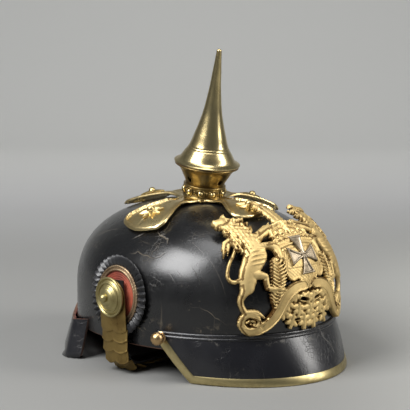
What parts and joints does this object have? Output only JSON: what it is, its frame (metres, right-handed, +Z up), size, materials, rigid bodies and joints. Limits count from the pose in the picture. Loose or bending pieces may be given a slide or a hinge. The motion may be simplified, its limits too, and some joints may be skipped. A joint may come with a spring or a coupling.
{
  "type": "spiked leather parade helmet",
  "caption": "Tall oval leather helmet on two visors with a screw-off brass spike, cross base, front plate, cockades and a swinging scaled chin strap with buckle.",
  "frame": {"origin": "bottom centre of the whole helmet's box, on the plane that its two visors stand on", "axes": "+Z up, front of the helmet along -Y, wearer's right along -X"},
  "size_m": [0.2286, 0.2759, 0.2561],
  "materials": {
    "shell_leather": "lacquered black leather, glossy with fine crazing",
    "visor_leather": "lacquered black leather, glossy",
    "front_lining": "dull green painted leather",
    "rear_lining": "dull red painted leather",
    "band_leather": "plain brown leather",
    "liner_silk": "ribbed silk, brown",
    "gilt_brass": "polished gilt brass, light patina",
    "plate_brass": "stamped gilt brass, worn",
    "trim_brass": "worn brass",
    "scale_brass": "dull brown brass",
    "dark_brass": "dull brass",
    "silver": "silvered metal, warm",
    "steel": "plain steel",
    "cockade_black": "black lacquer",
    "cockade_silver": "tarnished silver cord",
    "cockade_red": "faded red paint",
    "strap_leather": "black leather, dull"
  },
  "bodies": {
    "helmet": {"skull": "shell_leather", "front_visor": "visor_leather", "front_visor_lining": "front_lining", "front_visor_trim": "trim_brass", "rear_visor": "visor_leather", "rear_visor_lining": "rear_lining", "rear_spine": "gilt_brass", "spine_stud": "gilt_brass", "sweatband": "band_leather", "crown_liner": "liner_silk", "visor_buttons": "trim_brass", "spike_base": "gilt_brass", "star_studs": "gilt_brass", "stud_nuts": "steel", "pearl_ring": "gilt_brass", "spike_neck": "gilt_brass", "neck_bush": "dark_brass", "front_plate": "plate_brass", "plate_lugs": "plate_brass", "plate_nuts": "steel", "reserve_cross": "silver", "chin_post_nuts": "steel", "cockade_rim_right": "cockade_black", "cockade_cords_right": "cockade_silver", "cockade_field_right": "cockade_red", "chin_post_right": "dark_brass", "cockade_rim_left": "cockade_black", "cockade_cords_left": "cockade_silver", "cockade_field_left": "cockade_black", "chin_post_left": "dark_brass"},
    "spike_seat": {"spike_washer": "band_leather"},
    "spike_body": {"spike": "gilt_brass", "spike_stud": "dark_brass"},
    "chin_strap": {"chin_boss_right": "scale_brass", "chin_boss_left": "scale_brass", "first_scale_right": "scale_brass", "first_scale_left": "scale_brass", "strap_right": "strap_leather", "strap_left": "strap_leather", "buckle_frame": "dark_brass", "strap_keeper": "strap_leather", "chin_scale_right_1": "scale_brass", "chin_scale_right_2": "scale_brass", "chin_scale_right_3": "scale_brass", "chin_scale_right_4": "scale_brass", "chin_scale_right_5": "scale_brass", "chin_scale_right_6": "scale_brass", "chin_scale_right_7": "scale_brass", "chin_scale_right_8": "scale_brass", "chin_scale_left_1": "scale_brass", "chin_scale_left_2": "scale_brass", "chin_scale_left_3": "scale_brass", "chin_scale_left_4": "scale_brass", "chin_scale_left_5": "scale_brass", "chin_scale_left_6": "scale_brass", "chin_scale_left_7": "scale_brass", "chin_scale_left_8": "scale_brass"},
    "prong_body": {"buckle_prong": "dark_brass"}
  },
  "joints": [
    {"name": "spike_lift", "type": "slide", "parent": "helmet", "child": "spike_seat", "axis": [0, -0.153, 0.9882], "range_m": [0, 0.0106]},
    {"name": "spike_turn", "type": "hinge", "parent": "spike_seat", "child": "spike_body", "pos_m": [0, -0.00005, 0.1323], "axis": [0, -0.153, 0.9882], "range_deg": [0, 2520]},
    {"name": "strap_swing", "type": "hinge", "parent": "helmet", "child": "chin_strap", "pos_m": [0, -0.00355, 0.062], "axis": [1, 0, 0], "range_deg": [-25, 30]},
    {"name": "prong_turn", "type": "hinge", "parent": "chin_strap", "child": "prong_body", "pos_m": [-0.008, -0.00739, 0.0071], "axis": [0, -0.9976, 0.0698], "range_deg": [0, 90]}
  ],
  "couplings": [
    {"joint": "spike_lift", "follows": "spike_turn", "m_per_rad": 0.00023873}
  ]
}
